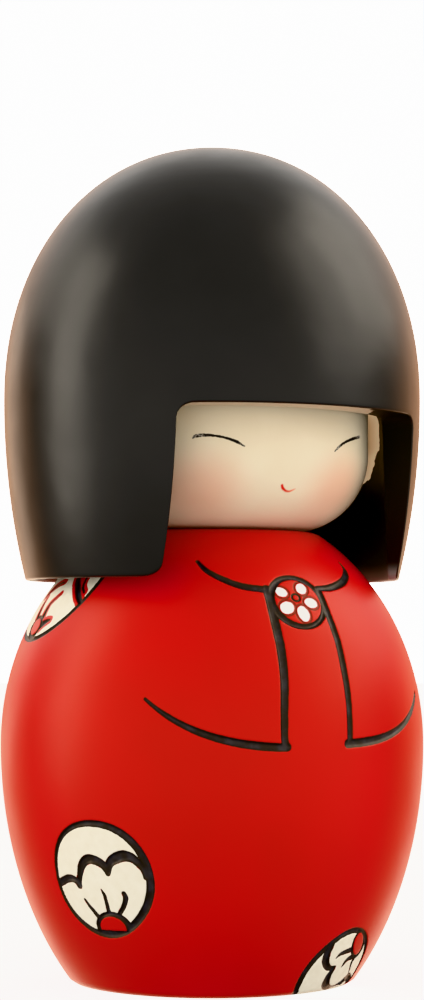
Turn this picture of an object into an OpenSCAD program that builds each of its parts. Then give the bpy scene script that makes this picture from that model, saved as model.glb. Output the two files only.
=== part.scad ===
// Sosaku kokeshi doll: a turned barrel body, a turned face drum and a bored, helmet-like
// bell of hair with a face window. The head turns on a peg glued into the body.
// Millimetres, +Z up, origin at the centre of the foot, face towards -Y.

/* [Body] */
// Height of the body, foot to flat top
body_h = 79; // [65:0.5:100]
// Largest diameter of the body
body_d = 75; // [60:0.5:110]
// Height of the body's widest ring
body_widest_z = 41.9; // [34:0.1:51]
// Diameter of the foot
foot_d = 49.5; // [40:0.5:60]
// Diameter of the flat top
top_d = 36.75; // [30:0.25:45]
// Radius of the sanded edge round the foot
foot_edge_r = 1.2; // [0.5:0.1:2]
// Radius of the sanded edge round the flat top
top_edge_r = 0.8; // [0.3:0.1:1.5]

/* [Hair bell] */
// Height of the bell, rim to crown
bell_h = 77.5; // [64:0.5:100]
// How far the bell's widest ring stands out past its rim, on the radius
bell_bulge = 3.98; // [2:0.02:8]
// Height of the bell's widest ring above its rim
bell_widest_h = 32.4; // [26:0.1:40]
// How far the rim hangs below the flat top of the body
rim_drop = 8.5; // [5:0.5:12]
// Power of the dome's outline: 2 is an ellipse, more is squarer
dome_power = 2.1; // [2:0.05:2.6]
// Gap between the body's shoulder and the bell's bore at the rim, on the radius
shoulder_gap = 3.66; // [1:0.02:6]
// Thickness of the bell's wall at the rim
rim_wall = 1.8; // [1.5:0.1:3]
// How much the bore widens from its ceiling to the rim, on the radius
bore_flare = 1.7; // [0.5:0.1:2.5]
// Depth of the bore, from the rim to its ceiling
bore_depth = 47; // [39:0.5:60]

/* [Face window] */
// Width of the window cut through the front of the bell
window_w = 47.5; // [36:0.5:57]
// Height of the fringe's edge above the rim
window_h = 28.5; // [20:0.5:36]
// Radius of the window's top corners
window_corner_r = 2.4; // [1:0.1:5]
// Radius of the lower front corners of the two side locks
lock_corner_r = 2; // [1:0.1:4]

/* [Face] */
// Gap between the face drum and the ceiling end of the bell's bore, on the radius
face_gap = 1.8; // [1:0.1:4]
// Radius of the chin, the rounding under the face drum
chin_r = 13.6; // [8:0.2:16]
// Hairline gap between the flat top of the body and the head
seat_gap = 0.2; // [0.1:0.05:0.5]

/* [Pegs] */
// Diameter of the neck peg
neck_peg_d = 12; // [8:0.5:15]
// Length of the neck peg, half in the body and half in the face
neck_peg_l = 36; // [24:1:44]
// Running clearance of the head on the neck peg, on the radius
neck_fit = 0.06; // [0.02:0.01:0.1]
// Diameter of the crown peg
crown_peg_d = 10; // [6:0.5:14]
// Length of the crown peg, half in the face and half in the bell
crown_peg_l = 22; // [16:1:26]
// Squeeze of a glued peg in its hole, on the radius
glue_fit = 0.02; // [0.01:0.01:0.05]
// Spare depth below each peg's end
peg_spare = 0.6; // [0.2:0.1:2]
// Chamfer on the ends of the pegs
peg_chamfer = 0.8; // [0.4:0.1:1.5]

/* [Hidden] */
$fn = 96;
arc_steps = 18;      // chords in one long stretch of an outline
edge_steps = 4;      // chords in a small rounded edge
over = 1;            // how far a cutter runs past the face it opens
// A sanded edge of the body has three points, placed by shares of its radius: one on the flat,
// a middle one, and one on the barrel's side
edge_mid_in = 0.25;  // how far the middle point lies inside the corner
edge_mid_up = 0.15;  // how far the middle point lies from the flat
edge_side_up = 0.6;  // how far the last point lies from the flat
face_edge_r = 1;     // rounding of the face drum's hidden top edge

// Heights, all above the foot
head_z = body_h + seat_gap;
rim_z = body_h - rim_drop;
crown_z = rim_z + bell_h;
ceiling_z = rim_z + bore_depth;
fringe_z = rim_z + window_h;

// Body outline: two elliptical stretches that meet at the widest ring
body_r = body_d / 2;
foot_r = foot_d / 2;
top_r = top_d / 2;
// Half-height of the ellipse with half-width w that has half-width x at a height h
function ellipse_half_h(w, x, h) = h / sqrt(1 - pow(x / w, 2));
foot_half_h = ellipse_half_h(body_r, foot_r, body_widest_z);
top_half_h = ellipse_half_h(body_r, top_r, body_h - body_widest_z);
// Body radius at height z
function body_r_at(z) =
    let (half_h = z < body_widest_z ? foot_half_h : top_half_h)
    body_r * sqrt(1 - pow((z - body_widest_z) / half_h, 2));

// Bore of the bell, wide enough to slip over the shoulder and a little narrower at its ceiling
bore_rim_r = body_r_at(rim_z) + shoulder_gap;
bore_top_r = bore_rim_r - bore_flare;
// The ceiling's rounding shares its centre line with the face drum's top edge, so the drum clears it
bore_corner_r = face_gap + face_edge_r;

// Bell outline: a long arc from the rim to the widest ring, then the dome
rim_r = bore_rim_r + rim_wall;
bell_r = rim_r + bell_bulge;
bell_widest_z = rim_z + bell_widest_h;
dome_h = bell_h - bell_widest_h;
skirt_r = (pow(bell_widest_h, 2) + pow(bell_bulge, 2)) / (2 * bell_bulge);
rim_edge_r = rim_wall / 3;

// Face drum
face_r = bore_top_r - face_gap;
face_top_z = ceiling_z;

// Sockets
neck_half = neck_peg_l / 2;
crown_half = crown_peg_l / 2;

// Points of a round-edged corner: centre, radius, first and last angle
function arc(c, r, a0, a1, n) =
    [for (i = [0:n]) let (a = a0 + (a1 - a0) * i / n) [c.x + r * cos(a), c.y + r * sin(a)]];

// A full turn of an outline given as [radius, height] points
module turned(points) {
    rotate_extrude() polygon(points);
}

// A dowel standing on z, its two ends chamfered
module peg(d, l, z) {
    r = d / 2;
    c = peg_chamfer;
    translate([0, 0, z])
        turned([[0, 0], [r - c, 0], [r, c], [r, l - c], [r - c, l], [0, l]]);
}

// A drilled hole from z down (or up, with a negative depth)
module socket(r, z, depth) {
    low = depth > 0 ? z - depth : z - over;
    translate([0, 0, low]) cylinder(r = r, h = abs(depth) + over);
}

// Barrel-shaped body, solid, drilled in its flat top for the neck peg
module body() {
    foot_start = foot_edge_r * edge_side_up;
    top_end = body_h - top_edge_r * edge_side_up;
    foot_corner_r = body_r_at(0);
    top_corner_r = body_r_at(body_h);
    side = [for (i = [0:2 * arc_steps])
        let (z = foot_start + (top_end - foot_start) * (1 - cos(90 * i / arc_steps)) / 2)
        [body_r_at(z), z]];
    color("crimson") difference() {
        turned(concat(
            [[0, 0], [foot_corner_r - foot_edge_r, 0],
             [foot_corner_r - foot_edge_r * edge_mid_in, foot_edge_r * edge_mid_up]],
            side,
            [[top_corner_r - top_edge_r * edge_mid_in, body_h - top_edge_r * edge_mid_up],
             [top_corner_r - top_edge_r, body_h], [0, body_h]]));
        socket(neck_peg_d / 2 - glue_fit, body_h, neck_half + peg_spare);
    }
}

// Peg glued in the body, on which the head turns
module neck_peg() {
    color("burlywood") peg(neck_peg_d, neck_peg_l, body_h - neck_half);
}

// Drum that carries the face, with a full chin rounding and a socket at each end
module face_block() {
    chin = arc([face_r - chin_r, head_z + chin_r], chin_r, -90, 0, arc_steps);
    color("bisque") difference() {
        turned(concat(
            [[0, head_z]],
            chin,
            arc([face_r - face_edge_r, face_top_z - face_edge_r], face_edge_r, 0, 90, edge_steps),
            [[0, face_top_z]]));
        // Running socket: its end bears on the peg and keeps the head off the body
        socket(neck_peg_d / 2 + neck_fit, head_z, -(neck_half - seat_gap));
        socket(crown_peg_d / 2 - glue_fit, face_top_z, crown_half + peg_spare);
    }
}

// Peg glued in the face and the bell
module crown_peg() {
    color("burlywood") peg(crown_peg_d, crown_peg_l, ceiling_z - crown_half);
}

// The bell's solid outline, without its bore
module bell_blank() {
    skirt = [for (i = [1:arc_steps])
        let (h = bell_widest_h * i / arc_steps)
        if (h > 2 * rim_edge_r)
        [bell_r - skirt_r + sqrt(pow(skirt_r, 2) - pow(bell_widest_h - h, 2)), rim_z + h]];
    dome = [for (i = [1:2 * arc_steps])
        let (h = sin(90 * i / (2 * arc_steps)))
        [bell_r * pow(max(0, 1 - pow(h, dome_power)), 1 / dome_power), bell_widest_z + dome_h * h]];
    turned(concat(
        [[0, rim_z]],
        arc([rim_r - rim_edge_r, rim_z + rim_edge_r], rim_edge_r, -90, 0, edge_steps),
        skirt, dome));
}

// The bore inside the bell, flared to the rim, with a rounded ceiling edge
module bell_bore() {
    mouth_r = bore_rim_r + bore_flare * over / bore_depth;
    turned(concat(
        [[0, rim_z - over], [mouth_r, rim_z - over]],
        arc([bore_top_r - bore_corner_r, ceiling_z - bore_corner_r], bore_corner_r, 0, 90, edge_steps),
        [[0, ceiling_z]]));
}

// Cutter for the face window: straight sides, rounded top corners, and lower corners
// that sweep out through the rim so that the locks end in round tips
module window_cutter() {
    w = window_w / 2;
    t = window_corner_r;
    b = lock_corner_r;
    right = concat(
        [[w + b, rim_z - over]],
        arc([w + b, rim_z + b], b, -90, -180, edge_steps),
        arc([w - t, fringe_z - t], t, 0, 90, edge_steps));
    left = [for (i = [len(right) - 1:-1:0]) [-right[i].x, right[i].y]];
    rotate([90, 0, 0]) linear_extrude(2 * bell_r) polygon(concat(right, left));
}

// Hair: a bored bell with the face window cut through its front
module hair_bell() {
    color([0.15, 0.15, 0.14]) difference() {
        bell_blank();
        bell_bore();
        window_cutter();
        socket(crown_peg_d / 2 - glue_fit, ceiling_z, -(crown_half + peg_spare));
    }
}

body();
neck_peg();
face_block();
crown_peg();
hair_bell();
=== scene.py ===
# %% [markdown]
# A creative kokeshi doll, in five turned pieces: a barrel body, a face drum, a bell of hair and two pegs.
# Its shapes are bodies of revolution, as they come off a wood lathe, so each starts from an outline and a
# spin. What makes it a doll is the handwork after that: the window sawn in the hair, the lines cut with a
# graver and filled with black, the white flowers, and the closed eyes drawn with a fine brush.

# %% Frame and units
import math

import bmesh
import bpy
import numpy as np
from mathutils import Matrix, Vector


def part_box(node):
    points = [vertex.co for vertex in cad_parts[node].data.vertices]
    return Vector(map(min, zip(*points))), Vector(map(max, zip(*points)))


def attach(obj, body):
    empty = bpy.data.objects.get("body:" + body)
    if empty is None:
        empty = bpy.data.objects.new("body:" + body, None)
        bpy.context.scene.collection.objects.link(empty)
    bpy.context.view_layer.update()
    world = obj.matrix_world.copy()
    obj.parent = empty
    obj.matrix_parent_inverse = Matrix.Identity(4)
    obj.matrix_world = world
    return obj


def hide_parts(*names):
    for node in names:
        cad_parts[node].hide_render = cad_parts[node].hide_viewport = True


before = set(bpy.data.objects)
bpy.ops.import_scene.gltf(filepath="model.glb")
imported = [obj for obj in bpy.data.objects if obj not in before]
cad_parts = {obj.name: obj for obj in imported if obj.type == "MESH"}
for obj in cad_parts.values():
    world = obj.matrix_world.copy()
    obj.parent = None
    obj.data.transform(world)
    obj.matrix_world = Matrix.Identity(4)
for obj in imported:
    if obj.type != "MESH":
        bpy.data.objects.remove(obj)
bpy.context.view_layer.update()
mm = 0.001

# %% [markdown]
# The camera stands a little to the doll's own right, at the height of its waist, and looks slightly up.
# It is close, less than half a metre away, so the foot is seen from above and the fringe from below.
# Those two views of round edges are what fix its distance and its height.

# %% Camera
camera_azimuth = math.radians(-31)
camera_pitch = math.radians(3.25)
camera_distance = 440 * mm
camera_height = 60 * mm
camera_sensor = 36.0
camera_lens = 88.632

camera_data = bpy.data.cameras.new("camera")
camera_data.sensor_fit = "VERTICAL"
camera_data.sensor_height = camera_sensor
camera_data.lens = camera_lens
camera_data.clip_start = 5 * mm
camera = bpy.data.objects.new("camera", camera_data)
camera.location = (
    camera_distance * math.sin(camera_azimuth),
    -camera_distance * math.cos(camera_azimuth),
    camera_height,
)
camera.rotation_euler = (math.pi / 2 + camera_pitch, 0, camera_azimuth)
bpy.context.collection.objects.link(camera)
bpy.context.scene.camera = camera
print("camera at, mm:", [round(v / mm) for v in camera.location])

# %% [markdown]
# Every turned piece needs the same few things: rounded corners in its outline, points at an even pace along
# it, so that the faces come out square, and the spin itself. A spin needs its last column merged with its
# first, and the points on the axis merged into one pole.

# %% Outlines and turning
def arc(centre, radius, start, end, steps):
    """Points of a round corner, angles in degrees."""
    angles = np.radians(np.linspace(start, end, steps + 1))
    return [(centre[0] + radius * math.cos(a), centre[1] + radius * math.sin(a)) for a in angles]


def evenly(points, step):
    """The same open outline with a point about every step."""
    p = np.array(points)
    run = np.concatenate([[0], np.cumsum(np.hypot(*np.diff(p, axis=0).T))])
    at = np.linspace(0, run[-1], max(1, round(run[-1] / step)) + 1)
    return [tuple(q) for q in np.column_stack([np.interp(at, run, p[:, 0]), np.interp(at, run, p[:, 1])])]


def spin_outline(outline, columns):
    """A mesh made by turning an outline of (radius, height) points, in mm, once round the axis."""
    bm = bmesh.new()
    verts = [bm.verts.new((r * mm, 0, z * mm)) for r, z in outline]
    edges = [bm.edges.new(pair) for pair in zip(verts, verts[1:])]
    once_round = {"cent": (0, 0, 0), "axis": (0, 0, 1), "angle": 2 * math.pi, "use_merge": True}
    bmesh.ops.spin(bm, geom=verts + edges, steps=columns, **once_round)
    bmesh.ops.remove_doubles(bm, verts=bm.verts, dist=0.0005 * mm)
    bmesh.ops.recalc_face_normals(bm, faces=bm.faces)
    return bm


def places(bm):
    """All vertex positions as an array, in millimetres and in the order of bm.verts."""
    return np.array([v.co[:] for v in bm.verts]) / mm


def on_side(radius_at, line):
    """Turns (degrees round from the front, height) points into places on a turned side, in mm."""
    turn, z = np.radians(np.array(line)[:, 0]), np.array(line)[:, 1]
    r = radius_at(z)
    return np.column_stack([r * np.sin(turn), -r * np.cos(turn), z])


def finish_piece(bm, name, materials, body, node):
    """Makes the mesh an object that stands for a CAD node and rides on its body."""
    mesh = bpy.data.meshes.new(name)
    for face in bm.faces:
        face.smooth = True
    bm.to_mesh(mesh)
    bm.free()
    piece = bpy.data.objects.new(name, mesh)
    bpy.context.collection.objects.link(piece)
    for material in materials:
        mesh.materials.append(material)
    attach(piece, body)
    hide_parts(node)
    mesh.calc_loop_triangles()
    print(name, "triangles:", len(mesh.loop_triangles))
    return piece


def keep_fields(piece, fields):
    """Stores each field, one number for each vertex, under the name by which a material reads it."""
    for name, values in fields.items():
        layer = piece.data.attributes.new(name, "FLOAT", "POINT")
        layer.data.foreach_set("value", values.astype(np.float32))


# %% [markdown]
# The painted lines are worked out as distances. For each vertex, a field holds how far it is from the edge
# of a stroke, in millimetres: less than zero is inside. The same number cuts the groove in the mesh and
# tells the material where the black is, so the paint lies exactly in the cut. It stays sharp between
# vertices too, because a distance, unlike a colour, can be read off halfway along a face.

# %% Distance fields of strokes and dabs
FAR = 50.0
NEAR = 4.0


def smooth_line(points, steps=8):
    """A Catmull-Rom curve through a few points."""
    p = np.array(points, dtype=float)
    p = np.vstack([2 * p[0] - p[1], p, 2 * p[-1] - p[-2]])
    line = []
    for a, b, c, d in zip(p, p[1:], p[2:], p[3:]):
        square, cube = 2 * a - 5 * b + 4 * c - d, 3 * b - a - 3 * c + d
        for t in np.arange(steps) / steps:
            line.append(0.5 * (2 * b + (c - a) * t + square * t**2 + cube * t**3))
    line.append(p[-2])
    return np.array(line)


def stroke_field(where, line, half_widths):
    """Distance to the edge of a stroke, whose half-width may change on the way, or FAR well away from it."""
    line = np.asarray(line, dtype=float)
    share = np.linspace(0, 1, len(line))
    half = np.interp(share, np.linspace(0, 1, len(half_widths)), half_widths)
    field = np.full(len(where), FAR)
    reach = max(half_widths) + NEAR
    near = np.all((where > line.min(0) - reach) & (where < line.max(0) + reach), axis=1)
    p = where[near]
    best = np.full(len(p), FAR)
    for a, b, wa, wb in zip(line, line[1:], half, half[1:]):
        along = b - a
        t = np.clip((p - a) @ along / max(along @ along, 1e-12), 0, 1)
        best = np.minimum(best, np.linalg.norm(p - a - t[:, None] * along, axis=1) - wa - t * (wb - wa))
    field[near] = best
    return field


def ellipse_field(where, centre, radii, turn=0.0):
    """Distance to the edge of a filled ellipse, near enough close to that edge."""
    c, s = math.cos(math.radians(turn)), math.sin(math.radians(turn))
    d = where - np.array(centre)
    q = np.column_stack([(d[:, 0] * c + d[:, 1] * s) / radii[0], (d[:, 1] * c - d[:, 0] * s) / radii[1]])
    length = np.maximum(np.linalg.norm(q, axis=1), 1e-6)
    slope = np.hypot(q[:, 0] / radii[0], q[:, 1] / radii[1]) / length
    return (length - 1) / np.maximum(slope, 1e-6)


# %% [markdown]
# Materials are small node trees. One function turns a colour from the usual hex notation to the linear
# values that a renderer works with, and one adds a node with its settings and its links.

# %% Colour and node helpers
def colour(hex_code):
    """A linear colour from an sRGB hex code."""
    parts = [int(hex_code[i : i + 2], 16) / 255 for i in (0, 2, 4)]
    return [p / 12.92 if p <= 0.04045 else ((p + 0.055) / 1.055) ** 2.4 for p in parts] + [1.0]


def set_inputs(tree, node, inputs):
    """Sets a node's inputs, by name or number: a socket is linked, and a hex code becomes a colour."""
    for key, value in inputs.items():
        if isinstance(key, int):
            socket = node.inputs[key]
        else:
            socket = next(s for s in node.inputs if s.name == key and s.enabled)
        if isinstance(value, bpy.types.NodeSocket):
            tree.links.new(value, socket)
        else:
            socket.default_value = colour(value) if isinstance(value, str) else value


def add(tree, kind, inputs=None, result=None, **settings):
    """Adds a node with its settings and its links, and gives its first output, or the one named."""
    node = tree.nodes.new(kind)
    for key, value in settings.items():
        setattr(node, key, value)
    set_inputs(tree, node, inputs or {})
    if result:
        return node.outputs[result]
    return next((s for s in node.outputs if s.enabled), None)


def new_material(name):
    """An empty node material, its tree, its Principled shader and a place on the piece, in metres."""
    material = bpy.data.materials.new(name)
    material.use_nodes = True
    tree = material.node_tree
    shader = next(n for n in tree.nodes if n.type == "BSDF_PRINCIPLED")
    return material, tree, shader, add(tree, "ShaderNodeTexCoord", result="Object")


def patchy(tree, place, size, detail, low, high, least=0.0, most=1.0):
    """A value that varies from least to most over patches of a size in mm, as hand-laid paint does."""
    cloud = add(tree, "ShaderNodeTexNoise", {"Vector": place, "Scale": 1 / (size * mm), "Detail": detail})
    span = {"Value": cloud, "From Min": low, "From Max": high, "To Min": least, "To Max": most}
    return add(tree, "ShaderNodeMapRange", span)


def inside(tree, place, field, wobble, grain, soft):
    """1 inside a painted field and 0 outside: its edge wobbles, over the grain, and is soft, all in mm."""
    distance = add(tree, "ShaderNodeAttribute", result="Fac", attribute_name=field)
    shake = patchy(tree, place, grain, 3.0, 0.3, 0.7, -wobble, wobble)
    total = add(tree, "ShaderNodeMath", {0: distance, 1: shake}, operation="ADD")
    edge = {"Value": total, "From Min": -soft, "From Max": soft, "To Min": 1.0, "To Max": 0.0}
    return add(tree, "ShaderNodeMapRange", edge)


def brush_rings(tree, place):
    """Rings left by the brush as the piece turned: stretched along the turn, a millimetre apart."""
    rings = add(tree, "ShaderNodeMapping", {"Vector": place, "Scale": (0.06, 0.06, 1)})
    rings = add(tree, "ShaderNodeTexNoise", {"Vector": rings, "Scale": 1 / (1.1 * mm), "Detail": 2.0})
    return add(tree, "ShaderNodeBump", {"Height": rings, "Distance": 0.006 * mm})


# %% [markdown]
# The body is one solid barrel: two elliptical stretches that meet at its widest ring, a sanded edge round
# the foot and a flat top for the head to sit on. It could be a cylinder that is bulged by a modifier, but a
# spun outline gives the true curve, and the radius at any height comes from one short formula, which the
# engraving needs again.

# %% Outline of the body
body_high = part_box("body")[1]
peg_low, peg_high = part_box("neck_peg")
body_h = body_high[2] / mm
body_r = body_high[0] / mm
peg_r = peg_high[0] / mm
peg_spare = 0.6
socket_floor = peg_low[2] / mm - peg_spare
body_widest = 41.9
foot_r = 49.5 / 2
shoulder_r = 36.75 / 2
foot_edge = 1.2
top_edge = 0.8


def ellipse_half_height(width, x, h):
    return h / math.sqrt(1 - (x / width) ** 2)


lower_half = ellipse_half_height(body_r, foot_r, body_widest)
upper_half = ellipse_half_height(body_r, shoulder_r, body_h - body_widest)


def barrel_r(z):
    """Radius of the body at a height, both in millimetres."""
    z = np.asarray(z, dtype=float)
    half = np.where(z < body_widest, lower_half, upper_half)
    return body_r * np.sqrt(np.maximum(0, 1 - ((z - body_widest) / half) ** 2))


side_from, side_to = foot_edge * 0.6, body_h - top_edge * 0.6
side = [(float(barrel_r(z)), z) for z in np.linspace(side_from, side_to, 400)]
foot_corner = [(float(barrel_r(0)) - foot_edge, 0), (float(barrel_r(0)) - foot_edge / 4, side_from / 4)]
top_corner = [
    (float(barrel_r(body_h)) - top_edge / 4, body_h - top_edge * 0.15),
    (float(barrel_r(body_h)) - top_edge, body_h),
]
grid_step = 0.8
body_outline = (
    evenly([(0, 0), foot_corner[0]], 3 * grid_step)
    + foot_corner[1:]
    + evenly(side, grid_step)
    + top_corner
    + evenly([(top_corner[-1][0] - 0.3, body_h), (peg_r, body_h)], 2 * grid_step)
    + [(peg_r, socket_floor), (0, socket_floor)]
)
print("body outline points:", len(body_outline))

# %% [markdown]
# The decoration is a short coat: a collar in two sweeps, a round flower brooch, two straight fronts and a
# hem that rises towards the sides. Below and round it lie large roundels, each with half a plum blossom
# against a white ground. All of them are laid out in degrees round the body and millimetres up it.

# %% The coat's lines
coat_front = -2.4
brooch_z = 66.5
brooch_r = 4.9
hem_z = 42.6
hem_rise = 8.0
hem_reach = 46.0
hem_turns = np.linspace(9.5, hem_reach, 24)
hem_side = [(turn, hem_z + hem_rise * (turn / hem_reach) ** 3) for turn in hem_turns]

collar_right = [(-10.5, 68.4), (-18, 68.9), (-24.3, 70.0), (-30.5, 71.6), (-34.2, 73.2)]
collar_left = [(9.2, 68.7), (15.6, 68.9), (23.8, 69.9), (29.8, 71.2), (32.6, 72.3), (33.0, 73.5)]
front_right = [(-10.4, 68.6), (-9.9, 63.5), (-9.3, 58.5), (-9.3, 53.5), (-9.9, 48), (-10, 43.6), (-9.2, 42.4)]
front_left = [(9.4, 68.2), (9.3, 64), (9.7, 60), (9.6, 55.5), (9.6, 51), (9.4, 46.5), (9.2, 43.1)]
hem_left = [(8.4, hem_z + 0.2)] + [(turn, z + 0.15) for turn, z in hem_side]
hem_right = [(-turn, z - 0.3) for turn, z in hem_side]
COAT_LINES = [
    (collar_right, (0.72, 0.7, 0.64, 0.52, 0.32)),
    (collar_left, (0.56, 0.72, 0.76, 0.72, 0.5, 0.22)),
    (front_right, (0.74, 0.82, 0.8, 0.72, 0.66, 0.64)),
    (front_left, (0.62, 0.7, 0.7, 0.68, 0.62, 0.62)),
    (hem_left, (0.74, 0.76, 0.7, 0.64, 0.56, 0.42)),
    (hem_right, (0.7, 0.74, 0.7, 0.62, 0.5, 0.3)),
]


def coat_fields(where):
    """The black lines of the coat, which are grooves filled with ink."""
    ink = np.full(len(where), FAR)
    for line, half_widths in COAT_LINES:
        path = smooth_line([(turn + coat_front, z) for turn, z in line])
        ink = np.minimum(ink, stroke_field(where, on_side(barrel_r, path), half_widths))
    return ink


# %% [markdown]
# A roundel is drawn flat and then laid on the barrel, as a compass would: each vertex keeps its straight
# distance from the middle, and its direction is read on the tangent plane. Each has a ring, half a blossom
# with a scalloped edge, three stamens and a red heart that sits against the ring. They are drawn by hand, so
# no two are alike: the three that the front shows have drawings of their own, and the rest share the first.

# %% Laying a drawing on the barrel
def flat_on(where, turn, z):
    """Flat (right, up) places round a middle on the body, and which vertices are near enough to matter."""
    middle = on_side(barrel_r, [(turn, z)])[0]
    a = math.radians(turn)
    slope = float(barrel_r(z + 0.5) - barrel_r(z - 0.5))
    right = np.array([math.cos(a), math.sin(a), 0])
    up = np.array([slope * math.sin(a), -slope * math.cos(a), 1])
    up /= np.linalg.norm(up)
    d = where - middle
    far = np.linalg.norm(d, axis=1)
    flat = np.column_stack([d @ right, d @ up])
    flat *= (far / np.maximum(np.linalg.norm(flat, axis=1), 1e-6))[:, None]
    return flat, far


def turned_flat(flat, degrees):
    c, s = math.cos(math.radians(degrees)), math.sin(math.radians(degrees))
    return flat @ np.array([[c, -s], [s, c]])


# Each drawing: the ring's radius, its half-width and how that swells, how the ring drifts in or out at every
# 45 degrees, the strokes with their half-widths, the heart and its black rim as (middle, radii, turn), the
# height where the heart stops, and the bare gap beside a stroke
WHOLE_BLOSSOM = {
    "ring": 9.7,
    "ring_half": (0.58, 0.16),
    "drift": (0.15, 0.4, 0.1, 0.1, -0.5, -0.25, 0.2, -0.3),
    "strokes": [
        ([(-9.2, -1.5), (-7.1, -0.4), (-5.8, -0.1), (-4.7, -0.4), (-4.1, -1.2)], (0.7, 0.72, 0.66, 0.6)),
        (
            [(-4.1, -1.2), (-3.7, 0.6), (-2.8, 2.6), (-1.5, 3.6)]
            + [(-0.2, 3.6), (1.1, 3.1), (2.0, 2.3), (2.3, 1.3)],
            (0.46, 0.6, 0.8, 0.86, 0.82, 0.8, 0.74, 0.46),
        ),
        (
            [(2.3, 1.5), (2.9, 3.1), (4.2, 4.0), (5.7, 4.4), (7.1, 4.1), (8.2, 3.1), (8.9, 2.0), (9.2, 0.6)],
            (0.6, 0.8, 0.98, 1.0, 0.84, 0.66, 0.5, 0.45),
        ),
        ([(-3.5, -3.6), (-2.8, -4.7), (-2.1, -5.5), (-1.4, -6.5)], (0.22, 0.34, 0.38, 0.46)),
        ([(0.4, -1.5), (0.9, -2.6), (1.0, -4.0), (1.1, -5.5)], (0.14, 0.34, 0.36, 0.42)),
        ([(4.7, -2.1), (4.9, -2.9), (4.3, -4.3), (3.2, -5.7)], (0.42, 0.5, 0.44, 0.4)),
    ],
    "heart": ((1.2, -8.5), (2.55, 2.1), 0),
    "rim": ((1.4, -8.4), (3.6, 2.95), 0),
    "floor": -8.95,
    "bare": 0.0,
}
HEM_BLOSSOM = {
    "ring": 8.5,
    "ring_half": (0.5, 0.12),
    "drift": (-0.3, -0.25, 0.2, 0.0, 0.0, -0.9, -0.6, 0.2),
    "strokes": [
        (
            [(8.2, -1.8), (7.7, -1.0), (6.5, 0.3), (5.1, 0.95), (3.3, 0.9), (2.1, -0.1)],
            (0.7, 0.85, 0.85, 0.62, 0.4),
        ),
        (
            [(2.0, 0.2), (1.2, 1.5), (-0.1, 2.4), (-2.0, 2.4), (-3.5, 1.2), (-4.4, -0.3), (-4.8, -2.0)],
            (0.55, 0.8, 0.95, 0.7, 0.5, 0.7, 0.9),
        ),
        ([(-4.8, -2.0), (-6.2, -2.3), (-7.4, -2.0), (-8.2, -2.6)], (0.8, 0.8, 0.75, 0.5)),
        ([(2.2, -4.5), (3.4, -3.0), (4.0, -2.0), (4.0, -1.0)], (0.62, 0.5, 0.4, 0.12)),
        ([(0.0, -4.1), (0.8, -3.1), (0.8, -2.3), (0.4, -1.4)], (0.66, 0.52, 0.4, 0.12)),
        ([(-1.0, -4.3), (-1.5, -3.6), (-3.6, -2.6), (-5.0, -2.0)], (0.45, 0.3, 0.13, 0.12)),
    ],
    "heart": ((1.6, -6.1), (2.6, 1.3), -17),
    "rim": ((1.5, -6.1), (3.3, 1.95), -17),
    "floor": -FAR,
    "bare": 0.0,
}
NAPE_BLOSSOM = {
    "ring": 12.6,
    "ring_half": (0.46, 0.0),
    "drift": (0.0, 0.0, 0.0, 0.0, 0.0, 0.0, 0.15, 0.0),
    "strokes": [
        ([(4.9, 1.2), (6.6, -0.7), (8.5, -2.2), (10.0, -3.4), (11.8, -4.5)], (0.6, 0.7, 0.72, 0.66, 0.5)),
        ([(8.4, 0.6), (9.3, -1.3), (10.8, -2.4)], (0.3, 0.3, 0.25)),
        ([(-4.0, -4.0), (-2.0, -2.4), (0.2, -1.5), (2.0, -1.2)], (0.4, 0.45, 0.3, 0.1)),
        ([(2.4, -10.1), (3.9, -9.3), (5.3, -8.8)], (0.8, 0.55, 0.2)),
        ([(1.6, -8.4), (1.5, -7.2), (1.6, -5.9), (2.6, -4.8), (3.7, -3.6)], (0.6, 0.5, 0.3, 0.12, 0.05)),
        ([(-1.6, -8.2), (-2.2, -6.2), (-2.2, -4.6)], (0.5, 0.4, 0.15)),
    ],
    "heart": ((0.0, -10.3), (1.9, 1.55), 0),
    "rim": ((0.0, -10.4), (2.65, 2.3), 0),
    "floor": -FAR,
    "bare": 0.62,
}
ROUNDELS = [
    # degrees round, height, radius of the ring, turn of the drawing, and the drawing
    (-64.4, 20.1, 9.7, 0, WHOLE_BLOSSOM),
    (20.5, 3.2, 8.5, 139, HEM_BLOSSOM),
    (-99.8, 71.0, 12.6, 0, NAPE_BLOSSOM),
    (88.0, 36.0, 9.8, 205, WHOLE_BLOSSOM),
    (141.0, 17.0, 9.0, 95, WHOLE_BLOSSOM),
    (-158.0, 46.0, 10.4, 20, WHOLE_BLOSSOM),
    (-138.0, 15.0, 7.6, 165, WHOLE_BLOSSOM),
    (120.0, 68.0, 9.4, -20, WHOLE_BLOSSOM),
]


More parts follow.
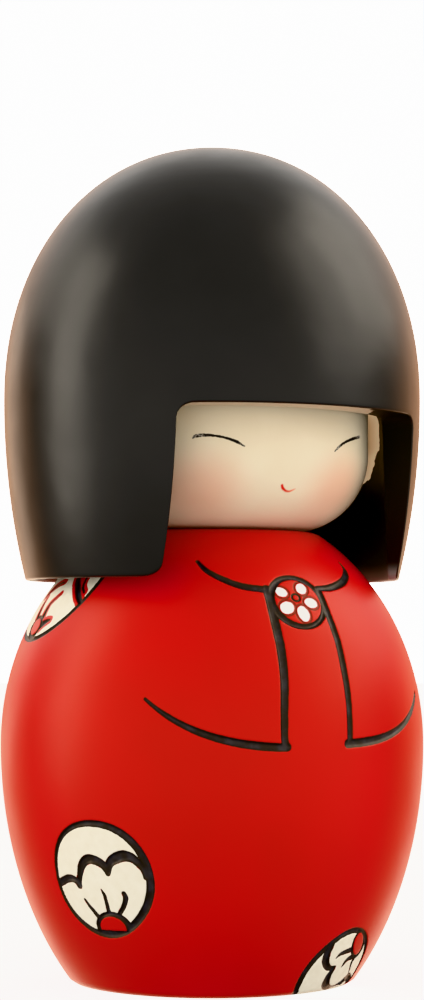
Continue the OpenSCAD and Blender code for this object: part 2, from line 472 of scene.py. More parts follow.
def roundel_fields(where, turn, z, radius, drawing_turn, drawing):
    """Ink and white of one roundel."""
    flat, far = flat_on(where, turn, z)
    size = radius / drawing["ring"]
    near = far < radius + NEAR
    p = turned_flat(flat[near], drawing_turn) / size
    angle = np.degrees(np.arctan2(p[:, 1], p[:, 0])) % 360
    drift = smooth_line([(45 * k, drawing["drift"][k % 8]) for k in range(-1, 10)])
    out = np.linalg.norm(p, axis=1) - drawing["ring"] - np.interp(angle, drift[:, 0], drift[:, 1])
    half, swell = drawing["ring_half"]
    ink = np.abs(out) - half - swell * np.cos(np.radians(angle))
    strokes = np.full(len(p), FAR)
    for line, half_widths in drawing["strokes"]:
        strokes = np.minimum(strokes, stroke_field(p, smooth_line(line), half_widths))
    heart = np.maximum(ellipse_field(p, *drawing["heart"]), drawing["floor"] - p[:, 1])
    rim = ellipse_field(p, *drawing["rim"])
    ink = np.minimum(ink, np.maximum(np.minimum(strokes, rim), out))
    ink = np.maximum(ink, -heart)
    white = np.maximum(np.maximum(out, -rim), drawing["bare"] - strokes)
    all_ink, all_white = np.full(len(where), FAR), np.full(len(where), FAR)
    all_ink[near], all_white[near] = ink * size, white * size
    return all_ink, all_white


# %% [markdown]
# The brooch is smaller and finer: a black ring with five white dabs in it. Round each dab runs a thin cut
# that holds no black; its deeper red is painted shade, and the middle is a tiny ring.

# %% The brooch
cut_half = 0.2
BROOCH_PETALS = [
    # angle and distance from the middle, half length, half width
    (146, 3.25, 1.1, 0.92),
    (62, 2.85, 1.14, 0.98),
    (-8, 2.4, 1.2, 0.98),
    (-83, 2.5, 1.48, 1.08),
    (-153, 2.8, 1.34, 1.14),
]
BROOCH_HEART = (-0.25, 0.7)


def brooch_fields(where):
    """Ink, white and the thin uninked cuts of the brooch."""
    flat, far = flat_on(where, coat_front - 0.35, brooch_z)
    near = far < brooch_r + NEAR
    p = flat[near]
    out = np.linalg.norm(p, axis=1)
    left_swell = 0.15 * np.clip(-p[:, 0] / brooch_r, 0, 1)
    ink = np.abs(out - brooch_r) - 0.55 - left_swell
    middle = ellipse_field(p, BROOCH_HEART, (0.74, 0.7))
    ink = np.minimum(ink, np.abs(middle) - 0.22)
    white = np.full(len(p), FAR)
    cut = np.full(len(p), FAR)
    for angle, distance, long_half, short_half in BROOCH_PETALS:
        a = math.radians(angle)
        centre = (distance * math.cos(a), distance * math.sin(a))
        white = np.minimum(white, ellipse_field(p, centre, (long_half, short_half), angle))
        rim = ellipse_field(p, centre, (long_half + 0.34, short_half + 0.32), angle)
        cut = np.minimum(cut, np.abs(rim) - cut_half)
    white = np.minimum(white, ellipse_field(p, (brooch_r - 0.3, -0.8), (0.3, 0.5)))
    cut = np.maximum(cut, out - brooch_r)
    fields = [np.full(len(where), FAR) for _ in range(3)]
    for whole, part in zip(fields, (ink, white, cut)):
        whole[near] = part
    return fields


def body_fields(where):
    """All three painted fields of the body: ink, white and cut."""
    ink, white, cut = brooch_fields(where)
    ink = np.minimum(ink, coat_fields(where))
    for roundel in ROUNDELS:
        more_ink, more_white = roundel_fields(where, *roundel)
        ink = np.minimum(ink, more_ink)
        white = np.minimum(white, more_white)
    return ink, white, cut


# %% [markdown]
# The whole barrel doesn't need a fine mesh, only the strips along the lines. So the edges near a line are
# subdivided, twice, and every new vertex is put back on the true curve, because a subdivided flat face is
# still flat. Then the grooves are pressed in, by the depth that the distance field gives.

# %% Body mesh
groove_depth = 0.38
groove_slope = 0.42
cut_depth = 0.12
# Wider than any socket and narrower than any side
side_least_r = 14


def split_near(bm, is_near):
    """Halves the edges whose two ends are both near."""
    flags = dict(zip(bm.verts, is_near))
    edges = [e for e in bm.edges if flags[e.verts[0]] and flags[e.verts[1]]]
    bmesh.ops.subdivide_edges(bm, edges=edges, cuts=1, use_grid_fill=True)


def back_on_side(bm, radius_at, low, high):
    """Puts every vertex of a curved side, between two heights, back on its true outline."""
    for v in bm.verts:
        z = v.co.z / mm
        r = math.hypot(v.co.x, v.co.y)
        if low < z < high and r > side_least_r * mm:
            grow = float(radius_at(z)) * mm / r
            v.co.x *= grow
            v.co.y *= grow


bm = spin_outline(body_outline, round(2 * math.pi * body_r / grid_step))
for reach in (2.4, 1.2):
    p = places(bm)
    nearest = np.min(np.abs(body_fields(p)), axis=0)
    outer = (p[:, 2] > side_from - 0.01) & (np.hypot(p[:, 0], p[:, 1]) > peg_r + 1)
    split_near(bm, (nearest < reach) & outer)
    back_on_side(bm, barrel_r, side_from, side_to)

p = places(bm)
ink, white, cut = body_fields(p)
press = groove_depth * np.clip(-ink / groove_slope, 0, 1) ** 0.7
press = np.maximum(press, cut_depth * np.clip(-cut / cut_half, 0, 1) * (ink > 0))
outer = (p[:, 2] > side_from) & (p[:, 2] < side_to) & (np.hypot(p[:, 0], p[:, 1]) > peg_r + 1)
press = np.where(outer, press, 0)
bm.normal_update()
for v, depth in zip(bm.verts, press):
    if depth > 0:
        v.co -= v.normal * depth * mm
print("body vertices:", len(bm.verts), " deepest groove, mm:", round(float(press.max()), 2))
# The brooch's white is a cooler one, out to this many millimetres from its middle
cool_reach = 8
from_brooch = np.linalg.norm(p - on_side(barrel_r, [(coat_front, brooch_z)])[0], axis=1)
body_paint = {"ink": ink, "white": white, "cut": cut, "cool": np.clip(cool_reach - from_brooch, 0, 1)}


# %% [markdown]
# The body's finish is a crimson lacquer, brushed on the turning wood and left satin. It has no grain to
# show, but it pools a little, so its colour and its gloss drift slowly, and fine rings of the brush run
# round it. The white is a flat body colour, and the ink in the grooves is a soft charcoal black with
# painted shade along the walls of the groove, so that its greyer middle looks lit.

# %% Crimson lacquer, white body colour and ink
def make_lacquer():
    material, tree, shader, place = new_material("crimson_satin_lacquer")
    # Slow drift of the coat's thickness, over about two centimetres
    drift = patchy(tree, place, 22, 2.0, 0.35, 0.65)
    red = add(tree, "ShaderNodeMix", {"Factor": drift, "A": "B0000E", "B": "B70011"}, data_type="RGBA")
    # Painted shade: the thin cuts round the brooch's dabs are coloured a darker red, for the shade in them
    in_cut_shade = inside(tree, place, "cut", 0.03, 0.4, 0.03)
    red = add(tree, "ShaderNodeMix", {"Factor": in_cut_shade, "A": red, "B": "6E0306"}, data_type="RGBA")
    # Chalky white, unevenly thick over a millimetre or two
    chalk = patchy(tree, place, 1.6, 4.0, 0.3, 0.7)
    pale = add(tree, "ShaderNodeMix", {"Factor": chalk, "A": "E2DDCD", "B": "ECE8DA"}, data_type="RGBA")
    cool = add(tree, "ShaderNodeAttribute", result="Fac", attribute_name="cool")
    pale = add(tree, "ShaderNodeMix", {"Factor": cool, "A": pale, "B": "D8D9DC"}, data_type="RGBA")
    in_white = inside(tree, place, "white", 0.06, 0.8, 0.03)
    painted = add(tree, "ShaderNodeMix", {"Factor": in_white, "A": red, "B": pale}, data_type="RGBA")
    # Charcoal in the groove, streaked by the brush, with painted shade along the walls of the cut that leaves
    # its greyer middle looking lit
    streak = patchy(tree, place, 1.8, 2.0, 0.4, 0.66)
    ink = add(tree, "ShaderNodeMix", {"Factor": streak, "A": "1C1D22", "B": "34363E"}, data_type="RGBA")
    wall = add(tree, "ShaderNodeAttribute", result="Fac", attribute_name="ink")
    wall = add(tree, "ShaderNodeMapRange", {"Value": wall, "From Min": -0.34, "From Max": -0.08})
    ink = add(tree, "ShaderNodeMix", {"Factor": wall, "A": ink, "B": "08080A"}, data_type="RGBA")
    in_ink = inside(tree, place, "ink", 0.03, 0.9, 0.03)
    painted = add(tree, "ShaderNodeMix", {"Factor": in_ink, "A": painted, "B": ink}, data_type="RGBA")
    gloss = patchy(tree, place, 14, 3.0, 0.3, 0.7, 0.36, 0.43)
    gloss = add(tree, "ShaderNodeMix", {"Factor": in_white, "A": gloss, "B": 0.55}, data_type="FLOAT")
    coat = {"Base Color": painted, "Roughness": gloss, "Normal": brush_rings(tree, place)}
    set_inputs(tree, shader, coat)
    set_inputs(tree, shader, {"Specular IOR Level": 0.36, "Specular Tint": "FFE4BE"})
    return material


# %% End grain of the bare foot
def make_end_grain():
    material, tree, shader, place = new_material("sanded_end_grain_hardwood")
    # The pith lies off the middle, and the year rings are four millimetres apart. A wave texture whose scale
    # is 1 repeats every 2 pi / 20 metres.
    ring_gap = 4.0
    pith = add(tree, "ShaderNodeMapping", {"Vector": place, "Location": (21 * mm, 12 * mm, 0)})
    years = {"Vector": pith, "Scale": 2 * math.pi / 20 / (ring_gap * mm), "Distortion": 1.4, "Detail": 2.0}
    rings = add(tree, "ShaderNodeTexWave", years, "Fac", wave_type="RINGS", rings_direction="Z")
    pores = patchy(tree, place, 0.35, 2.0, 0.55, 0.75)
    wood = add(tree, "ShaderNodeMix", {"Factor": rings, "A": "C9A574", "B": "B48A58"}, data_type="RGBA")
    wood = add(tree, "ShaderNodeMix", {"Factor": pores, "A": wood, "B": "8E6A42"}, data_type="RGBA")
    gloss = add(tree, "ShaderNodeMapRange", {"Value": rings, "To Min": 0.55, "To Max": 0.68})
    relief = add(tree, "ShaderNodeBump", {"Height": pores, "Distance": 0.02 * mm})
    set_inputs(tree, shader, {"Base Color": wood, "Roughness": gloss, "Normal": relief})
    return material


CRIMSON, BARE_WOOD = 0, 1
for face in bm.faces:
    centre = face.calc_center_median() / mm
    bare = centre.z < 0.01 or math.hypot(centre.x, centre.y) < peg_r + 0.5
    face.material_index = BARE_WOOD if bare else CRIMSON
body_coats = [make_lacquer(), make_end_grain()]
painted_body = finish_piece(bm, "painted_body", body_coats, "body", "body")
keep_fields(painted_body, body_paint)

# %% [markdown]
# The face is a drum with a full round chin. It is also a spin, with a socket at each end for the pegs. The
# eyes and the mouth are thin brush strokes that lie on the paint, so they need no groove, only a fine
# enough mesh to hold their distance fields.

# %% Face drum
face_low, face_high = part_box("face_block")
crown_low, crown_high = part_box("crown_peg")
face_z0, face_z1 = face_low[2] / mm, face_high[2] / mm
face_r = face_high[0] / mm
crown_r = crown_high[0] / mm
chin_r = 13.6
face_edge = 1.0
neck_fit = 0.06
face_grid = 1.2
chin = arc((face_r - chin_r, face_z0 + chin_r), chin_r, -90, 0, 60)
top_round = arc((face_r - face_edge, face_z1 - face_edge), face_edge, 0, 90, 4)
crown_socket = crown_low[2] / mm - peg_spare
face_outline = (
    [(0, peg_high[2] / mm), (peg_r + neck_fit, peg_high[2] / mm), (peg_r + neck_fit, face_z0)]
    + evenly([(peg_r + neck_fit + 0.4, face_z0), (face_r - chin_r - 0.3, face_z0)], face_grid)
    + evenly(chin + [(face_r, face_z1 - face_edge)], face_grid)
    + top_round[1:]
    + [(crown_r, face_z1), (crown_r, crown_socket), (0, crown_socket)]
)
EYE_RIGHT = [(-37.7, 93.8), (-36.3, 94.2), (-32.0, 94.3), (-27.0, 93.95), (-22.8, 93.3), (-19.6, 92.45)]
EYE_LEFT = [(18.1, 92.3), (20.3, 93.1), (23.1, 93.8), (26.6, 94.4), (30.5, 94.9), (36.2, 95.4)]
MOUTH = [(-4.1, 86.2), (-3.4, 85.7), (-1.8, 85.3), (-0.2, 85.2), (1.0, 85.4), (2.2, 85.7)]


def drum_r(z):
    """Radius of the face at a height, both in millimetres."""
    below = np.clip(face_z0 + chin_r - np.asarray(z, dtype=float), 0, chin_r)
    return face_r - chin_r + np.sqrt(chin_r**2 - below**2)


def brush_line(where, points, half_widths):
    """Distance to a brush stroke on the face, through (degrees round from the front, height) points."""
    return stroke_field(where, on_side(drum_r, smooth_line(points)), half_widths)


def face_fields(where):
    """Lashes and lips, how loaded the brush is along the lips and how dry along the lashes, and cheeks."""
    right = brush_line(where, EYE_RIGHT, (0.12, 0.3, 0.26, 0.2, 0.22, 0.26, 0.12))
    left = brush_line(where, EYE_LEFT, (0.14, 0.22, 0.22, 0.24, 0.26, 0.27))
    lips = brush_line(where, MOUTH, (0.22, 0.25, 0.22, 0.18, 0.13, 0.05))
    turn = np.degrees(np.arctan2(where[:, 0], -where[:, 1]))
    lash_from, lash_to = 19, 36
    from_end = np.minimum(np.abs(np.abs(turn) - lash_from), np.abs(np.abs(turn) - lash_to) * 0.7)
    dry = np.clip(1.6 - from_end / 1.8, 0, 1)
    load = np.clip((1.2 - turn) / 3.4, 0, 1)
    cheeks = np.full(len(where), FAR)
    for spot in ((-36, 85.6), (25, 86)):
        from_spot = (where - on_side(drum_r, [spot])[0]) / (1, 1, 0.8)
        cheeks = np.minimum(cheeks, np.linalg.norm(from_spot, axis=1))
    return np.minimum(right, left), lips, load, dry, cheeks


bm = spin_outline(face_outline, round(2 * math.pi * face_r / face_grid))
for reach in (2.5, 1.4, 0.7):
    p = places(bm)
    lashes, lips = face_fields(p)[:2]
    outer = np.hypot(p[:, 0], p[:, 1]) > face_r - 5
    split_near(bm, (np.minimum(lashes, lips) < reach) & outer)
    back_on_side(bm, drum_r, face_z0 + 0.05, face_z1 - face_edge - 0.05)
face_paint = dict(zip(("lashes", "lips", "lip_load", "dry", "cheeks"), face_fields(places(bm))))
print("face vertices:", len(bm.verts))

# %% [markdown]
# The face is painted in cream over a white ground, matt and smooth as eggshell, with a breath of pink on
# the cheeks. The lashes are black ink from a brush of a few hairs, which runs dry at both ends and leaves
# grey there. The mouth is a single touch of red, darker where the brush landed.

# %% Cream face paint
def make_face_paint():
    material, tree, shader, place = new_material("cream_eggshell_paint")
    drift = patchy(tree, place, 9, 3.0, 0.35, 0.65)
    cream = add(tree, "ShaderNodeMix", {"Factor": drift, "A": "E7DABF", "B": "EBDFC5"}, data_type="RGBA")
    blush = add(tree, "ShaderNodeAttribute", result="Fac", attribute_name="cheeks")
    blush = {"Value": blush, "From Min": 1.5, "From Max": 11.5, "To Min": 0.46, "To Max": 0.0}
    blush = add(tree, "ShaderNodeMapRange", blush, interpolation_type="SMOOTHSTEP")
    cream = add(tree, "ShaderNodeMix", {"Factor": blush, "A": cream, "B": "E8997E"}, data_type="RGBA")
    # The mouth: one touch of a loaded brush, which leaves more red at its start
    load = add(tree, "ShaderNodeAttribute", result="Fac", attribute_name="lip_load")
    lip = add(tree, "ShaderNodeMix", {"Factor": load, "A": "EE8A6A", "B": "D41C16"}, data_type="RGBA")
    in_lips = inside(tree, place, "lips", 0.04, 0.5, 0.12)
    cream = add(tree, "ShaderNodeMix", {"Factor": in_lips, "A": cream, "B": lip}, data_type="RGBA")
    # The lashes: ink that breaks up into separate hairs where the brush ran dry
    dry = add(tree, "ShaderNodeAttribute", result="Fac", attribute_name="dry")
    hairs = patchy(tree, place, 0.35, 3.0, 0.42, 0.58)
    broken = add(tree, "ShaderNodeMath", {0: dry, 1: hairs}, operation="MULTIPLY")
    ink = add(tree, "ShaderNodeMix", {"Factor": broken, "A": "141213", "B": "A09A90"}, data_type="RGBA")
    in_lashes = inside(tree, place, "lashes", 0.05, 0.4, 0.05)
    painted = add(tree, "ShaderNodeMix", {"Factor": in_lashes, "A": cream, "B": ink}, data_type="RGBA")
    gloss = add(tree, "ShaderNodeMapRange", {"Value": drift, "To Min": 0.5, "To Max": 0.6})
    # The faint skin of a brushed paint
    skin = add(tree, "ShaderNodeTexNoise", {"Vector": place, "Scale": 1 / (0.6 * mm), "Detail": 3.0})
    relief = add(tree, "ShaderNodeBump", {"Height": skin, "Distance": 0.008 * mm})
    coat = {"Base Color": painted, "Roughness": gloss, "Normal": relief, "Specular IOR Level": 0.2}
    set_inputs(tree, shader, coat)
    return material


painted_face = finish_piece(bm, "painted_face", [make_face_paint()], "head", "face_block")
keep_fields(painted_face, face_paint)

# %% [markdown]
# The hair is a bell, turned outside and bored inside, with a window sawn through its front. It could be cut
# with a Boolean, but that leaves slivers where the cut crosses the mesh, and then a bevel along the cut
# fails. Here two spun skins, outer and inner, have their columns slid so that one runs along each side of
# the window. The faces in the window go, the two open edges are bridged, and a bevel softens them.

# %% Outline of the hair bell
bell_low, bell_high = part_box("hair_bell")
rim_z, crown_z = bell_low[2] / mm, bell_high[2] / mm
bell_r = bell_high[0] / mm
bell_widest = rim_z + 32.4
dome_h = crown_z - bell_widest
dome_power = 2.1
skirt_sag = 3.98
rim_r = bell_r - skirt_sag
skirt_arc = ((bell_widest - rim_z) ** 2 + skirt_sag**2) / (2 * skirt_sag)
bore_rim_r = rim_r - 1.8
bore_top_r = bore_rim_r - 1.7
ceiling_z = face_z1
window_half = 47.5 / 2
fringe_z = rim_z + 28.5
window_corner = 2.4
lock_corner = 2.0
bore_corner = 2.8
bell_columns = 192
window_columns = 21
window_edge = 2 * math.pi * window_columns / bell_columns
window_rows = 36


def bell_outer_r(z):
    """Outer radius of the bell at a height."""
    z = np.asarray(z, dtype=float)
    skirt = bell_r - skirt_arc + np.sqrt(skirt_arc**2 - (bell_widest - np.minimum(z, bell_widest)) ** 2)
    rise = np.clip((z - bell_widest) / dome_h, 0, 1)
    return np.where(z < bell_widest, skirt, bell_r * (1 - rise**dome_power) ** (1 / dome_power))


def bell_inner_r(z):
    """Radius of the bore at a height."""
    return bore_rim_r + (bore_top_r - bore_rim_r) * (np.asarray(z, dtype=float) - rim_z) / (ceiling_z - rim_z)


window_zs = np.linspace(rim_z, fringe_z, window_rows + 1)
dome = [(float(bell_outer_r(z)), z) for z in crown_z - (crown_z - fringe_z) * np.linspace(1, 0, 900) ** 2]
outer_outline = [(float(bell_outer_r(z)), z) for z in window_zs[:-1]] + evenly(dome, 0.95)
outer_outline[-1] = (0.0, crown_z)
bore_end = arc((bore_top_r - bore_corner, ceiling_z - bore_corner), bore_corner, 0, 90, 5)
bell_socket = crown_high[2] / mm + peg_spare
inner_outline = (
    [(float(bell_inner_r(z)), z) for z in window_zs[:-1]]
    + evenly([(float(bell_inner_r(fringe_z)), fringe_z), bore_end[0]], 1.0)
    + bore_end[1:]
    + [(crown_r, ceiling_z), (crown_r, bell_socket), (0, bell_socket)]
)
walls = [float(bell_outer_r(z) - bell_inner_r(z)) for z in (rim_z, fringe_z)]
print("wall at the rim and at the fringe, mm:", [round(wall, 1) for wall in walls])


# %% Hair bell mesh
def slide_columns(bm, radius_at):
    """Slides the columns of a spun skin so that one lies along each side of the window."""
    for v in bm.verts:
        r = math.hypot(v.co.x, v.co.y)
        z = v.co.z / mm
        if r < 1 * mm:
            continue
        turn = math.atan2(v.co.x, -v.co.y)
        window_turn = math.asin(window_half / float(radius_at(min(z, fringe_z))))
        if abs(turn) <= window_edge + 1e-6:
            turn *= window_turn / window_edge
        else:
            beyond = (abs(turn) - window_edge) / (math.pi - window_edge)
            turn = math.copysign(window_turn + beyond * (math.pi - window_turn), turn)
        v.co.x, v.co.y = r * math.sin(turn), -r * math.cos(turn)


def round_corner(x, z, cx, cz, size):
    """Pulls a square corner on to a quarter circle, and the squares inside it on to smaller ones."""
    dx, dz = x - cx, z - cz
    widest = max(abs(dx), abs(dz))
    if widest < 1e-9 or widest > size * 1.001:
        return x, z
    pull = widest / math.hypot(dx, dz)
    return cx + dx * pull, cz + dz * pull


def round_window(bm, radius_at):
    """Rounds the window's top corners and the tips of the two locks."""
    for v in bm.verts:
        x, z = v.co.x / mm, v.co.z / mm
        if v.co.y > 0 or z > fringe_z + 0.01:
            continue
        across, flip = abs(x), math.copysign(1, x)
        top = (window_half - window_corner, fringe_z - window_corner)
        tip = (window_half + lock_corner, rim_z + lock_corner)
        if across >= top[0] and z >= top[1] and across <= window_half + 0.01:
            across, z = round_corner(across, z, *top, window_corner)
        elif window_half - 0.01 <= across <= tip[0] and z <= tip[1]:
            across, z = round_corner(across, z, *tip, lock_corner)
        else:
            continue
        v.co.x, v.co.z = flip * across * mm, z * mm
        v.co.y = -math.sqrt(float(radius_at(z)) ** 2 - across**2) * mm


def open_skin(outline, radius_at, paint):
    """One skin of the bell with the window open in it."""
    bm = spin_outline(outline, bell_columns)
    bmesh.ops.rotate(bm, verts=bm.verts, cent=(0, 0, 0), matrix=quarter_turn)
    gone = []
    for face in bm.faces:
        face.material_index = paint
        c = face.calc_center_median()
        in_front = abs(math.atan2(c.x, -c.y)) < window_edge and math.hypot(c.x, c.y) > crown_r * mm
        if in_front and c.z < fringe_z * mm:
            gone.append(face)
    bmesh.ops.delete(bm, geom=gone, context="FACES")
    slide_columns(bm, radius_at)
    round_window(bm, radius_at)
    return bm


quarter_turn = Matrix.Rotation(-math.pi / 2, 3, "Z")
LACQUER, BORE_PAINT = 0, 1
bm = open_skin(outer_outline, bell_outer_r, LACQUER)
inner_skin = open_skin(inner_outline, bell_inner_r, BORE_PAINT)
carrier = bpy.data.meshes.new("inner_skin")
inner_skin.to_mesh(carrier)
inner_skin.free()
bm.from_mesh(carrier)
bpy.data.meshes.remove(carrier)
rims = [e for e in bm.edges if e.is_boundary]
bridge = bmesh.ops.bridge_loops(bm, edges=rims)
print("edges to bridge:", len(rims), " faces made:", len(bridge["faces"]))
bmesh.ops.recalc_face_normals(bm, faces=bm.faces)
for face in bridge["faces"]:
    face.material_index = BORE_PAINT
wall = set(bridge["faces"])
sharp = [e for e in bm.edges if len(set(e.link_faces) & wall) == 1]
bevel = {"offset": 0.38 * mm, "offset_type": "OFFSET", "segments": 3, "profile": 0.5, "affect": "EDGES"}
softened = bmesh.ops.bevel(bm, geom=sharp, clamp_overlap=True, material=-1, **bevel)
for face in softened["faces"]:
    x, y, z = face.calc_center_median() / mm
    if math.hypot(x, y) > float(bell_inner_r(z)) + 0.9:
        face.material_index = LACQUER


# %% [markdown]
# Some of the cream of the face has strayed on to the wall of the hair beside it, with a ragged edge, as
# happens when the face is painted after it is set in place. It is a distance field again: it starts a
# number of degrees round from the front that depends on the height, and ends at the back of the wall.

# %% Where the cream has strayed
spill_z = (87.6, 88.4, 89.7, 92.0, 93.5, 94.6, 99.7, 101.0, 102.3)
spill_start = (130, 85, 78, 74, 72.4, 66.4, 66.4, 72, 77)
spill_end = 112
stroke_point = (10.6, -35.3)
stroke_across = (0.864, -0.504)

p = places(bm)
turn = np.degrees(np.arctan2(p[:, 0], -p[:, 1]))
radius = np.hypot(p[:, 0], p[:, 1])
on_bore = (radius < bell_inner_r(p[:, 2]) + 0.6) & (p[:, 2] < ceiling_z - 3)
mm_per_degree = math.radians(1) * bore_top_r
before = np.interp(p[:, 2], spill_z, spill_start) - np.abs(turn)
spill = np.maximum(before, np.abs(turn) - spill_end) * mm_per_degree
spill = np.where(on_bore, spill, FAR)
# Under the fringe the cream stops along a slanting line, the stroke of a wide brush
under_fringe = (p[:, 2] < fringe_z + 0.6) & (p[:, 2] > fringe_z - window_corner) & (p[:, 1] < 0)
under_fringe &= (np.abs(p[:, 0]) < window_half - 0.2) & (radius < bell_outer_r(p[:, 2]) - 0.3)
stroke_edge = (p[:, :2] - stroke_point) @ stroke_across
spill = np.where(under_fringe, np.minimum(spill, stroke_edge), spill)
fringe_paint = np.clip((p[:, 2] - fringe_z + window_corner) / 0.5, 0, 1)
fringe_paint *= radius > bell_inner_r(p[:, 2]) + 0.2
print("vertices in the stray cream:", int((spill < 0).sum()))

# %% [markdown]
# The hair is black lacquer on wood, satin like the body. Where it turns away it picks up the warm brown of
# the wood and varnish under it, which a thin sheen imitates. The bore and the sawn faces of the window are a
# duller black.

# %% Black lacquer
def make_hair_lacquer():
    material, tree, shader, place = new_material("black_satin_lacquer")
    drift = patchy(tree, place, 16, 3.0, 0.35, 0.65)
    black = add(tree, "ShaderNodeMix", {"Factor": drift, "A": "101010", "B": "171717"}, data_type="RGBA")
    gloss = patchy(tree, place, 11, 3.0, 0.3, 0.7, 0.31, 0.37)
    # The wood under it isn't quite true, so the highlights waver over about a centimetre
    waver = add(tree, "ShaderNodeTexNoise", {"Vector": place, "Scale": 1 / (9 * mm), "Detail": 1.0})
    relief = {"Height": waver, "Distance": 0.12 * mm, "Normal": brush_rings(tree, place)}
    relief = add(tree, "ShaderNodeBump", relief)
    coat = {"Base Color": black, "Roughness": gloss, "Normal": relief, "Specular IOR Level": 0.39}
    set_inputs(tree, shader, coat)
    sheen = {"Sheen Weight": 0.08, "Sheen Roughness": 0.3, "Sheen Tint": "E0A878"}
    set_inputs(tree, shader, sheen)
    return material


# %% Matt black of the bore, with stray cream and a painted highlight inside the rim
def make_bore_paint():
    material, tree, shader, place = new_material("matt_black_bore_paint")
    drift = add(tree, "ShaderNodeTexNoise", {"Vector": place, "Scale": 1 / (5 * mm), "Detail": 3.0})
    black = add(tree, "ShaderNodeMix", {"Factor": drift, "A": "080707", "B": "12100F"}, data_type="RGBA")
    # Painted highlight: the inside of the rim turns a pale grey towards its edge, over about three
    # millimetres, standing in for light that reaches it through the gap by the body
    painted_rim_glint = add(tree, "ShaderNodeSeparateXYZ", {0: place}, result="Z")
    glint_from, glint_to = (rim_z + 3.4) * mm, (rim_z + 0.2) * mm
    painted_rim_glint = {"Value": painted_rim_glint, "From Min": glint_from, "From Max": glint_to, "To Max": 0.85}
    painted_rim_glint = add(tree, "ShaderNodeMapRange", painted_rim_glint, interpolation_type="SMOOTHSTEP")
    black = add(tree, "ShaderNodeMix", {"Factor": painted_rim_glint, "A": black, "B": "A8BCBA"}, data_type="RGBA")
    in_spill = inside(tree, place, "spill", 0.5, 1.4, 0.15)
    under = add(tree, "ShaderNodeAttribute", result="Fac", attribute_name="fringe_paint")
    cream = add(tree, "ShaderNodeMix", {"Factor": under, "A": "E6D2B4", "B": "E6DCC2"}, data_type="RGBA")
    stray = add(tree, "ShaderNodeMix", {"Factor": in_spill, "A": black, "B": cream}, data_type="RGBA")
    # Light goes back and forth between the cream drum and the cream wall, more often than a render follows
    # it, so the paint beside the face gives a little light of its own, least in the depth of the gap
    depth = add(tree, "ShaderNodeAttribute", result="Fac", attribute_name="spill")
    depth = {"Value": depth, "From Min": -7.0, "From Max": -1.0, "To Min": 0.14, "To Max": 0.38}
    depth = add(tree, "ShaderNodeMapRange", depth)
    glow = add(tree, "ShaderNodeMix", {"Factor": under, "A": depth, "B": 0.0}, data_type="FLOAT")
    glow = add(tree, "ShaderNodeMath", {0: glow, 1: in_spill}, operation="MULTIPLY")
    set_inputs(tree, shader, {"Emission Color": "F4D8B4", "Emission Strength": glow})
    gloss = add(tree, "ShaderNodeMapRange", {"Value": drift, "To Min": 0.42, "To Max": 0.55})
    brushed = add(tree, "ShaderNodeTexNoise", {"Vector": place, "Scale": 1 / (0.8 * mm), "Detail": 3.0})
    relief = add(tree, "ShaderNodeBump", {"Height": brushed, "Distance": 0.02 * mm})
    coat = {"Base Color": stray, "Roughness": gloss, "Normal": relief, "Specular IOR Level": 0.16}
    set_inputs(tree, shader, coat)
    return material


hair_coats = [make_hair_lacquer(), make_bore_paint()]
lacquered_hair = finish_piece(bm, "lacquered_hair", hair_coats, "head", "hair_bell")
keep_fields(lacquered_hair, {"spill": spill, "fringe_paint": fringe_paint})
even_normals = lacquered_hair.modifiers.new("even_normals", "WEIGHTED_NORMAL")
even_normals.keep_sharp = False

# %% [markdown]
# The two pegs stay as the frame has them: they are plain dowels, hidden inside the doll. Their wood is a
# straight-grained hardwood with the grain along the peg, so the noise is stretched along that direction.

# %% Pegs
def make_dowel_wood():
    material, tree, shader, place = new_material("straight_grained_dowel")
    grain = add(tree, "ShaderNodeMapping", {"Vector": place, "Scale": (1, 1, 0.05)})
    grain = patchy(tree, grain, 0.8, 4.0, 0.35, 0.65)
    wood = add(tree, "ShaderNodeMix", {"Factor": grain, "A": "CDAA78", "B": "AE8350"}, data_type="RGBA")
    gloss = add(tree, "ShaderNodeMapRange", {"Value": grain, "To Min": 0.5, "To Max": 0.62})
    relief = add(tree, "ShaderNodeBump", {"Height": grain, "Distance": 0.02 * mm})
    set_inputs(tree, shader, {"Base Color": wood, "Roughness": gloss, "Normal": relief})
    return material


dowel_wood = make_dowel_wood()
for name in ("neck_peg", "crown_peg"):
    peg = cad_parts[name]
    peg.data.materials.clear()
    peg.data.materials.append(dowel_wood)
    print(name, "keeps its CAD mesh")

# %% [markdown]
# The studio is a light table, whose white acrylic glows from below and so hardly shows a shadow, with a
# tall softbox and two small ones further back on the left, and two on the right. Side boxes put a long
# streak down each flank of a turned form and leave its middle dark, which is how its roundness reads. The
# room is the world's light: pale in front, darker at the sides, and behind the doll warm near the horizon
# and white above it, so the very edges of the lacquer pick up a brown gleam. The camera itself sees plain
# white instead, which a Light Path node decides.

# %% Floor
def make_light_table():
    material, tree, shader, place = new_material("lit_white_acrylic")
    tone = add(tree, "ShaderNodeTexNoise", {"Vector": place, "Scale": 1 / (120 * mm), "Detail": 2.0})
    tone = add(tree, "ShaderNodeMix", {"Factor": tone, "A": "747473", "B": "7A7A79"}, data_type="RGBA")
    set_inputs(tree, shader, {"Base Color": tone, "Roughness": 0.8})
    set_inputs(tree, shader, {"Emission Color": "FFFFFF", "Emission Strength": 1.6})
    return material


floor_mesh = bmesh.new()
bmesh.ops.create_circle(floor_mesh, cap_ends=True, radius=3.0, segments=64)
floor_data = bpy.data.meshes.new("floor")
floor_mesh.to_mesh(floor_data)
floor_mesh.free()
floor = bpy.data.objects.new("floor", floor_data)
floor.data.materials.append(make_light_table())
floor.visible_diffuse = False
floor.visible_glossy = False
bpy.context.collection.objects.link(floor)


# %% Softboxes
lamp_distance = 0.8
lamp_aim = 0.08


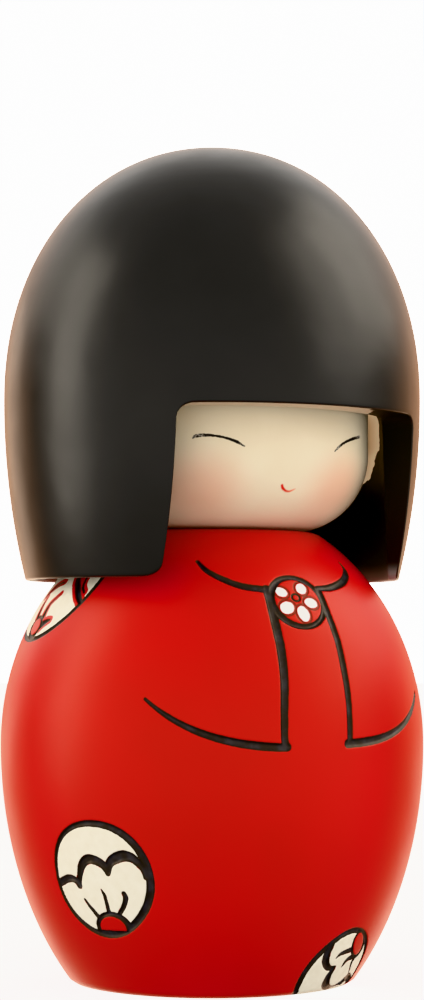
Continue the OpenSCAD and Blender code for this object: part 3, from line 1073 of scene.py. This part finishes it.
def softbox(name, azimuth, elevation, size, power):
    """A rectangular light that faces the doll, its angles in degrees and its azimuth from the camera's."""
    data = bpy.data.lights.new(name, "AREA")
    data.shape = "RECTANGLE"
    data.size, data.size_y = size
    data.energy = power
    data.color = colour("FFF4E2")[:3]
    lamp = bpy.data.objects.new(name, data)
    a, e = camera_azimuth + math.radians(azimuth), math.radians(elevation)
    lamp.location = (
        lamp_distance * math.cos(e) * math.sin(a),
        -lamp_distance * math.cos(e) * math.cos(a),
        lamp_distance * math.sin(e) + lamp_aim,
    )
    lamp.rotation_euler = (math.pi / 2 - e, 0, a)
    bpy.context.collection.objects.link(lamp)
    print(name, "at, mm:", [round(v / mm) for v in lamp.location])


softbox("left_box", -85, 17, (0.3, 0.8), 3.3)
softbox("left_back", -113, 32, (0.4, 0.35), 0.5)
softbox("left_rear", -140, 6, (0.25, 0.35), 0.35)
softbox("right_box", 108, 36, (0.45, 0.6), 2.3)
softbox("right_screen", 78, 34, (0.5, 0.7), 2.5)

# %% Room
world = bpy.data.worlds.new("room")
bpy.context.scene.world = world
world.use_nodes = True
room = world.node_tree
aim = add(room, "ShaderNodeTexCoord", result="Object")
back = (-math.sin(camera_azimuth), math.cos(camera_azimuth), 0)
back_part = add(room, "ShaderNodeVectorMath", {0: aim, 1: back}, result="Value", operation="DOT_PRODUCT")
height = add(room, "ShaderNodeSeparateXYZ", {0: aim}, result="Z")
# Parts of the room: each grows from 0 to 1 between two values of how far back, or how high, a ray goes
parts = []
for value, start, end in (
    (back_part, 0.46, 0.74),
    (back_part, -0.15, 0.3),
    (back_part, 0.72, 0.92),
    (height, -0.1, -0.45),
    (height, -0.65, -0.95),
    (height, 0.1, 0.6),
    (height, 0.0, -0.35),
):
    parts.append(add(room, "ShaderNodeMapRange", {"Value": value, "From Min": start, "From Max": end}))
behind, beside, rear, low, deep, high, table = parts
front = add(room, "ShaderNodeMix", {"Factor": high, "A": "EEEAE4", "B": "C2C0BC"}, data_type="RGBA")
side = add(room, "ShaderNodeMix", {"Factor": high, "A": "6A6662", "B": "C0BEBA"}, data_type="RGBA")
front = add(room, "ShaderNodeMix", {"Factor": beside, "A": front, "B": side}, data_type="RGBA")
below = add(room, "ShaderNodeMix", {"Factor": beside, "A": "B0ACA6", "B": "807C78"}, data_type="RGBA")
below = add(room, "ShaderNodeMix", {"Factor": deep, "A": below, "B": "4E4A46"}, data_type="RGBA")
front = add(room, "ShaderNodeMix", {"Factor": low, "A": front, "B": below}, data_type="RGBA")
wall = add(room, "ShaderNodeMix", {"Factor": high, "A": "EBB48E", "B": "FAF8F4"}, data_type="RGBA")
# The lit table behind the doll is brighter than anything else it can reflect
table = add(room, "ShaderNodeMath", {0: table, 1: rear}, operation="MULTIPLY")
glare = add(room, "ShaderNodeVectorMath", {0: colour("FFE2C8")[:3], 1: (2.2, 2.2, 2.2)}, operation="MULTIPLY")
wall = add(room, "ShaderNodeMix", {"Factor": table, "A": wall, "B": glare}, data_type="RGBA")
seen = add(room, "ShaderNodeMix", {"Factor": behind, "A": front, "B": wall}, data_type="RGBA")
to_camera = add(room, "ShaderNodeLightPath", result="Is Camera Ray")
plain = (2.5, 2.5, 2.5, 1.0)
seen = add(room, "ShaderNodeMix", {"Factor": to_camera, "A": seen, "B": plain}, data_type="RGBA")
set_inputs(room, room.nodes["Background"], {"Color": seen, "Strength": 2.0})
bpy.context.scene.view_settings.view_transform = "Khronos PBR Neutral"
print("lamps:", len(bpy.data.lights), " nodes in the room:", len(room.nodes))
